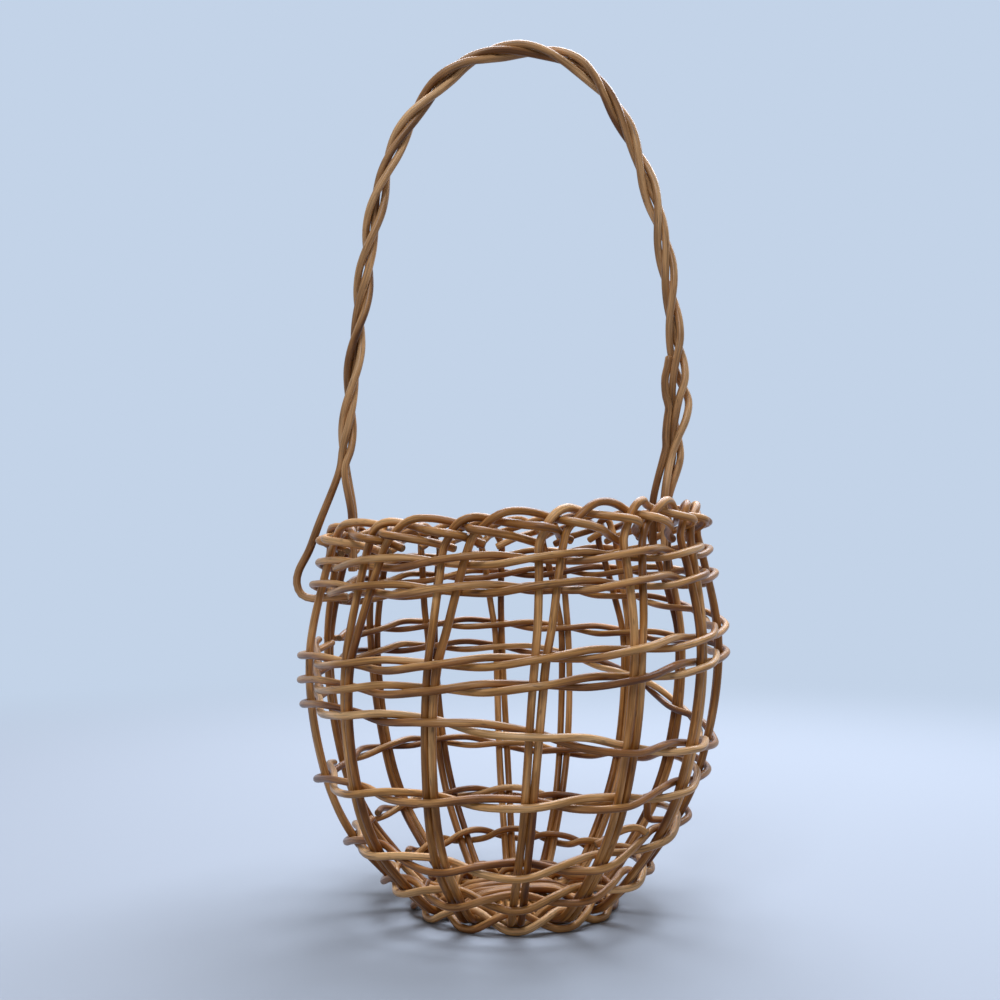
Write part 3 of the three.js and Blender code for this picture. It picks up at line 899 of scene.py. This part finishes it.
@dataclass
class SpareEnds:
    """Short cut ends of weavers that were laid in behind a stake pair and stick out of the weave."""

    rows: WovenRows
    # Row and stake pair; then how far along, in stake pairs, how far out and how far up each point lies
    ends: dict[str, tuple[str, int, tuple[tuple[float, float, float], ...]]] = field(default_factory=lambda: {
        "spare_end_upright": ("lower_row_second", 5, (
            (0.45, -3.7, -1), (0.25, -6.1, -0.6), (0.1, -6.8, 0.5),
            (0.02, -6.8, 2.5), (0, -6.5, 5.5), (-0.02, -6.2, 9),
        )),
        "spare_end_forward": ("lower_row_second", 5, (
            (-0.95, -6.7, 0.6), (-0.75, -6.6, 1.6), (-0.55, -5.6, 3.2),
            (-0.42, -3.2, 4.6), (-0.36, -0.5, 5.1), (-0.35, 2, 5.1),
        )),
        "spare_end_inside": ("lower_row_third", 4, (
            (0.4, -3.3, 0), (0.2, -5.6, 0.3), (0, -6.3, 0.8), (-0.2, -6.6, 2.2), (-0.33, -7.2, 4.2),
        )),
    })

    def rods(self) -> list[CaneRod]:
        """Routes the spare ends.

        Returns:
            The ends as rods of their own, for which there are no solids.
        """
        form = self.rows.form
        diameter = form.weaver_diameter * self.rows.thickness
        made: list[CaneRod] = []
        for name, (row, pair, points) in self.ends.items():
            share_of = self.rows.row_share(self.rows.stops[row])
            route = []
            for step, out, high in points:
                point, normal, _ = form.skin(form.pairs + pair + step, share_of(pair + 1 + step))
                route.append(point + normal * out + UP * high)
            made.append(CaneRod(
                name, form.placed(route), diameter, Body.BASKET, Slot.WEAVER_DARK, in_cad=False,
            ))
        return made


@dataclass
class TwistedHandle:
    """Three rods twisted into an arch, hooked round the rim rows, and a tie rod at the right foot."""

    form: BasketForm
    rows: WovenRows
    thickness: float = 1.13
    top: float = 349
    turns: int = 6
    foot_radius: float = 64.8
    foot_stand: float = 7.5
    foot_length: float = 27
    # An inner foot has points at these parts of its length below its top
    foot_parts: tuple[int, ...] = (1, 2, 7)
    foot_spread: float = 4.4
    foot_inset: float = 3.2
    foot_bend: float = 5
    hook_overhang: float = 10.5
    hook_bend: float = 6.5
    hook_standoff: float = 9.9
    hook_straight: float = 0.62
    hook_lean_in: float = 0.12
    hook_closing: float = 0.6
    twist_spread: float = 1.45
    twist_step: float = 8
    loose_length: float = 56
    loose_gap: float = 2.6
    tie_length: float = 42
    tie_angle: float = 80
    right_place: float = 6.5
    # Share of the half span, left negative, and share of the rise
    arch_shape: tuple[tuple[float, float], ...] = (
        (-1.055, 0.06), (-1.035, 0.135), (-1.01, 0.24), (-0.97, 0.365), (-0.917, 0.508), (-0.85, 0.645),
        (-0.77, 0.745), (-0.63, 0.84), (-0.453, 0.92), (-0.284, 0.969), (-0.096, 0.993), (0.093, 1),
        (0.276, 0.991), (0.428, 0.968), (0.562, 0.925), (0.7, 0.85), (0.856, 0.721), (0.95, 0.61),
        (1.01, 0.47), (1.05, 0.325), (1.062, 0.21), (1.04, 0.09),
    )

    def __post_init__(self) -> None:
        """Draws the arch between the two feet."""
        form = self.form
        self.left_place = form.pairs - 0.5
        self.rod_radius = form.handle_diameter / 2
        self.foot_top = form.border_top + self.foot_stand
        self.rod_gap = form.handle_diameter + form.clearance
        half_width = self.twist_spread * self.rod_gap / 2
        depth = math.sqrt(self.rod_gap ** 2 - half_width ** 2)
        # The flat twist at its left foot, to the front and inward
        self.twist_spots = ((0, -2 * depth / 3), (half_width, depth / 3), (-half_width, depth / 3))
        left = self.foot_point(self.left_place, self.foot_radius, self.foot_top, 0)
        right = self.foot_point(self.right_place, self.foot_radius, self.foot_top, 0)
        middle, half = (left + right) / 2, (right - left) / 2
        arch_top = self.top - half_width - self.rod_radius
        points = []
        for reach, rise in self.arch_shape:
            point = middle + half * reach
            point.z = mix(self.foot_top, arch_top, rise)
            points.append(point)
        self.arch = RoundCurve(points)
        self.length = self.arch.lengths[-1]
        self.front = half.cross(UP).normalized()

    def foot_point(self, place: float, radius: float, height: float, sidestep: float) -> Vector:
        """Point near a foot.

        Args:
            place: Place among the stake pairs.
            radius: Distance from the axis.
            height: Height before the lean.
            sidestep: Step along the rim.

        Returns:
            The point.
        """
        angle = self.form.angle_at(place, 1)
        point = self.form.leaned(self.form.outward(angle) * radius + UP * height)
        return point + self.form.outward(angle + math.pi / 2) * sidestep

    def hook_level(self, place: float) -> float:
        """Height of a hook that lies close under the lower rim row.

        Args:
            place: Place among the stake pairs.

        Returns:
            The height before the lean.
        """
        form = self.form
        low = int(place) % form.pairs
        row = (self.rows.ceiling[low] + self.rows.ceiling[(low + 1) % form.pairs]) / 2
        return row - form.cross_half - form.weaver_radius - form.clearance - self.rod_radius

    def twist_place(self, share: float, order: int) -> tuple[float, float]:
        """Place of a twisted rod round the arch, further out where the twist is loose.

        Args:
            share: Share of the arch's length.
            order: The rod, from 0.

        Returns:
            The rod's angle and its distance from the arch.
        """
        front, inward = self.twist_spots[order]
        # Two thirds of a turn bring each rod to its own foot at the right
        turn = 2 * math.pi * share * (self.turns + 2 / 3) + math.atan2(inward, front)
        left = min(self.length * (1 - share), self.loose_length)
        opening = math.sin(math.pi * left / self.loose_length) ** 2
        return turn, math.hypot(front, inward) + self.loose_gap * opening * (1 - math.sin(turn)) / 2

    def clear_reach(self, share: float, turn: float) -> float:
        """Least distance from the arch at which a fourth rod clears the three twisted ones.

        Args:
            share: Share of the arch's length.
            turn: Angle of the fourth rod.

        Returns:
            The distance.
        """
        gap = self.rod_gap
        reaches = []
        for order in range(len(self.twist_spots)):
            rod_turn, reach = self.twist_place(share, order)
            aside = min(abs(reach * math.sin(turn - rod_turn)), gap)
            reaches.append(reach * math.cos(turn - rod_turn) + math.sqrt(gap ** 2 - aside ** 2))
        return max(reaches)

    def beside_arch(self, share: float, turn: float, reach: float) -> Vector:
        """Point beside the arch.

        Args:
            share: Share of the arch's length.
            turn: Angle from the front towards the inside.
            reach: Distance from the arch.

        Returns:
            The point.
        """
        spot = self.arch.share_at_length(share)
        inward = self.arch.tangent(spot).cross(self.front).normalized()
        return self.arch.point(spot) + self.front * math.cos(turn) * reach + inward * math.sin(turn) * reach

    def twist_route(self, order: int) -> list[Vector]:
        """Twisted stretch of one of the three rods.

        Args:
            order: The rod, from 0.

        Returns:
            The points from the left foot to the right one.
        """
        steps = round(self.length / self.twist_step)
        route = []
        for share in (i / steps for i in range(steps + 1)):
            turn, reach = self.twist_place(share, order)
            route.append(self.beside_arch(share, turn, reach))
        return route

    def tie_route(self) -> list[Vector]:
        """Stretch of the tie rod along the inside of the loose twist.

        Returns:
            The points from its upper end down.
        """
        steps = round(2 * self.tie_length / self.twist_step)
        turn = math.radians(self.tie_angle)
        shares = [1 - self.tie_length / self.length * (1 - i / steps) for i in range(steps + 1)]
        return [self.beside_arch(share, turn, self.clear_reach(share, turn)) for share in shares]

    @staticmethod
    def quarter_bend(bend: float) -> list[tuple[float, float]]:
        """Radius and height of a bend from level to upright, from its lower tangent's corner."""
        turns = [share * math.pi / 2 for share in (0, 0.5, 1)]
        return [(bend * (1 - math.sin(turn)), bend * (1 - math.cos(turn))) for turn in turns]

    def outer_hook(self) -> list[Vector]:
        """Left end that drops outside the border and turns in under the lower rim row.

        Returns:
            The points from the tip up.
        """
        form = self.form
        level = self.hook_level(self.left_place)
        skin = form.section.point(form.share_at_height(level)).x
        outside = skin + self.hook_overhang
        spots = [(skin - self.hook_overhang, level), (skin, level)]
        spots += [(outside - short, level + high) for short, high in self.quarter_bend(self.hook_bend)]
        spots += [
            (outside - self.rod_radius / 2, mix(level, form.rim_height, self.hook_straight)),
            (form.rim_radius + self.hook_standoff, mix(form.rim_height, form.border_top, self.hook_lean_in)),
            (form.rim_radius + self.hook_standoff * self.hook_closing, form.border_top),
        ]
        return [self.foot_point(self.left_place, radius, height, 0) for radius, height in spots]

    def inner_foot(self, place: float, sidestep: float, inset: float = 0) -> list[Vector]:
        """End that runs down inside the border.

        Args:
            place: Place among the stake pairs.
            sidestep: Step along the rim.
            inset: Step towards the axis.

        Returns:
            The points from the tip up.
        """
        heights = [self.foot_top - self.foot_length / part for part in self.foot_parts]
        return [self.foot_point(place, self.foot_radius - inset, height, sidestep) for height in heights]

    def inner_hook(self, place: float) -> list[Vector]:
        """End that runs down inside the border and turns out under the lower rim row.

        Args:
            place: Place among the stake pairs.

        Returns:
            The points from the tip up.
        """
        form = self.form
        level = self.hook_level(place)
        skin = form.section.point(form.share_at_height(level)).x
        spots = [(skin + self.hook_overhang / 3, level)]
        spots += [(self.foot_radius + out, level + high) for out, high in self.quarter_bend(self.foot_bend)]
        points = [self.foot_point(place, radius, height, 0) for radius, height in spots]
        return points + self.inner_foot(place, 0)[1:]

    def rods(self) -> list[CaneRod]:
        """Routes the three twisted rods and the tie rod.

        Returns:
            The rods.
        """
        left, right, spread = self.left_place, self.right_place, self.foot_spread
        ends = (
            (self.outer_hook(), self.inner_foot(right, spread)),
            (self.inner_foot(left, spread / 2), self.inner_hook(right)),
            (self.inner_foot(left, -spread / 2), self.inner_foot(right, -spread, self.foot_inset)),
        )
        routes = {
            f"handle_rod_{order + 1}": [*start, *self.twist_route(order), *reversed(stop)]
            for order, (start, stop) in enumerate(ends)
        }
        tie_foot = self.inner_foot(right, 0, 2 * self.foot_inset)
        routes["handle_tie_rod"] = [*self.tie_route(), *reversed(tie_foot)]
        diameter = self.form.handle_diameter * self.thickness
        return [
            CaneRod(node, self.form.placed(route), diameter, Body.HANDLE, Slot.HANDLE)
            for node, route in routes.items()
        ]


@dataclass(frozen=True)
class SoftLamp:
    """Square soft lamp with its place, its side and its power in watts."""

    name: str
    place: tuple[float, float, float]
    side: float
    power: float

    def hang(self, colour: str, target: Vector) -> None:
        """Hangs the lamp so that it looks at a target.

        Args:
            colour: Its light's colour.
            target: What it looks at.
        """
        place = Vector(self.place)
        bpy.ops.object.light_add(type="AREA", location=place * MM)
        lamp = bpy.context.object
        lamp.name = self.name
        lamp.data.size = self.side * MM
        lamp.data.energy = self.power
        lamp.data.color = linear_colour(colour)[:3]
        lamp.rotation_euler = (target - place).to_track_quat("-Z", "Y").to_euler()


@dataclass
class Studio:
    """Pale floor that runs out into a pale backdrop, soft lamps and the camera."""

    camera_distance: float = 500
    camera_height: float = 144
    lens: float = 45
    sensor: float = 36
    clip_start: float = 10
    shift: tuple[float, float] = (-0.014, 0.045)
    backdrop: str = "#c3d3e8"
    floor: str = "#a0a5ac"
    floor_roughness: float = 0.9
    floor_sides: int = 96
    fill: str = "#fdf0e0"
    fill_strength: float = 0.2
    key: str = "#e4eeff"
    lamps: tuple[SoftLamp, ...] = (
        SoftLamp("overhead_lamp", (250, 550, 1100), 1200, 34),
        SoftLamp("front_lamp", (-200, -900, 1100), 500, 8),
    )
    aim_height: float = 130
    floor_radius: float = 4000
    fade_start: float = 350
    fade_stop: float = 900

    def add_floor(self) -> None:
        """Lays the floor, which fades into the backdrop's colour away from the basket."""
        bpy.ops.object.select_all(action="DESELECT")
        bpy.ops.mesh.primitive_circle_add(
            vertices=self.floor_sides, radius=self.floor_radius * MM, fill_type="NGON",
        )
        floor = bpy.context.object
        floor.name = "pale_floor"
        made, tree, paper = start_material("pale_paper")
        paper.inputs["Base Color"].default_value = linear_colour(self.floor)
        paper.inputs["Roughness"].default_value = self.floor_roughness
        place = add_node(tree, "TexCoord").outputs["Object"]
        distance = add_node(tree, "VectorMath", {"operation": "LENGTH"}, {0: place}).outputs["Value"]
        fade = add_node(tree, "MapRange", {"interpolation_type": "SMOOTHSTEP"}, {
            "Value": distance, "From Min": self.fade_start * MM, "From Max": self.fade_stop * MM,
        }).outputs["Result"]
        glow = add_node(tree, "Emission", inputs={"Color": linear_colour(self.backdrop)})
        mixed = add_node(tree, "MixShader", inputs={
            0: fade, 1: paper.outputs["BSDF"], 2: glow.outputs["Emission"],
        })
        tree.links.new(mixed.outputs["Shader"], tree.nodes["Material Output"].inputs["Surface"])
        floor.data.materials.append(made)

    def add_world(self) -> None:
        """Sets a soft even light from all round and the backdrop's colour behind."""
        world = bpy.data.worlds.new("studio")
        bpy.context.scene.world = world
        world.use_nodes = True
        tree = world.node_tree
        soft = tree.nodes["Background"]
        soft.inputs["Color"].default_value = linear_colour(self.fill)
        soft.inputs["Strength"].default_value = self.fill_strength
        behind = add_node(tree, "Background", inputs={"Color": linear_colour(self.backdrop), "Strength": 1.0})
        rays = add_node(tree, "LightPath").outputs
        seen = rays["Is Camera Ray"]
        for kind in ("Is Glossy Ray", "Is Transmission Ray"):
            seen = add_node(tree, "Math", {"operation": "MAXIMUM"}, {0: seen, 1: rays[kind]}).outputs["Value"]
        mixed = add_node(tree, "MixShader", inputs={
            0: seen, 1: soft.outputs["Background"], 2: behind.outputs["Background"],
        })
        tree.links.new(mixed.outputs["Shader"], tree.nodes["World Output"].inputs["Surface"])

    def add_camera(self) -> None:
        """Puts a level camera in front, shifted as the photograph is framed."""
        place = (AXIS_SHIFT * MM, -self.camera_distance * MM, self.camera_height * MM)
        bpy.ops.object.camera_add(location=place, rotation=(math.pi / 2, 0, 0))
        camera = bpy.context.object
        camera.data.lens = self.lens
        camera.data.sensor_width = self.sensor
        camera.data.shift_x, camera.data.shift_y = self.shift
        camera.data.clip_start = self.clip_start * MM
        bpy.context.scene.camera = camera

    def build(self) -> None:
        """Sets up the whole stage."""
        self.add_floor()
        self.add_world()
        for lamp in self.lamps:
            lamp.hang(self.key, UP * self.aim_height)
        self.add_camera()
        bpy.context.scene.view_settings.view_transform = "Standard"


def main() -> None:
    logging.basicConfig(level=logging.INFO, format="%(name)s %(message)s")
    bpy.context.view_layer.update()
    palette = Palette()
    form = BasketForm()
    rows = WovenRows(form)
    makers = (StakeFrame(form), rows, TwistedHandle(form, rows), SpareEnds(rows))
    for number, rod in enumerate(rod for maker in makers for rod in maker.rods()):
        rod.number = number
        rod.build(palette)
    Studio().build()


if __name__ == "__main__":
    main()
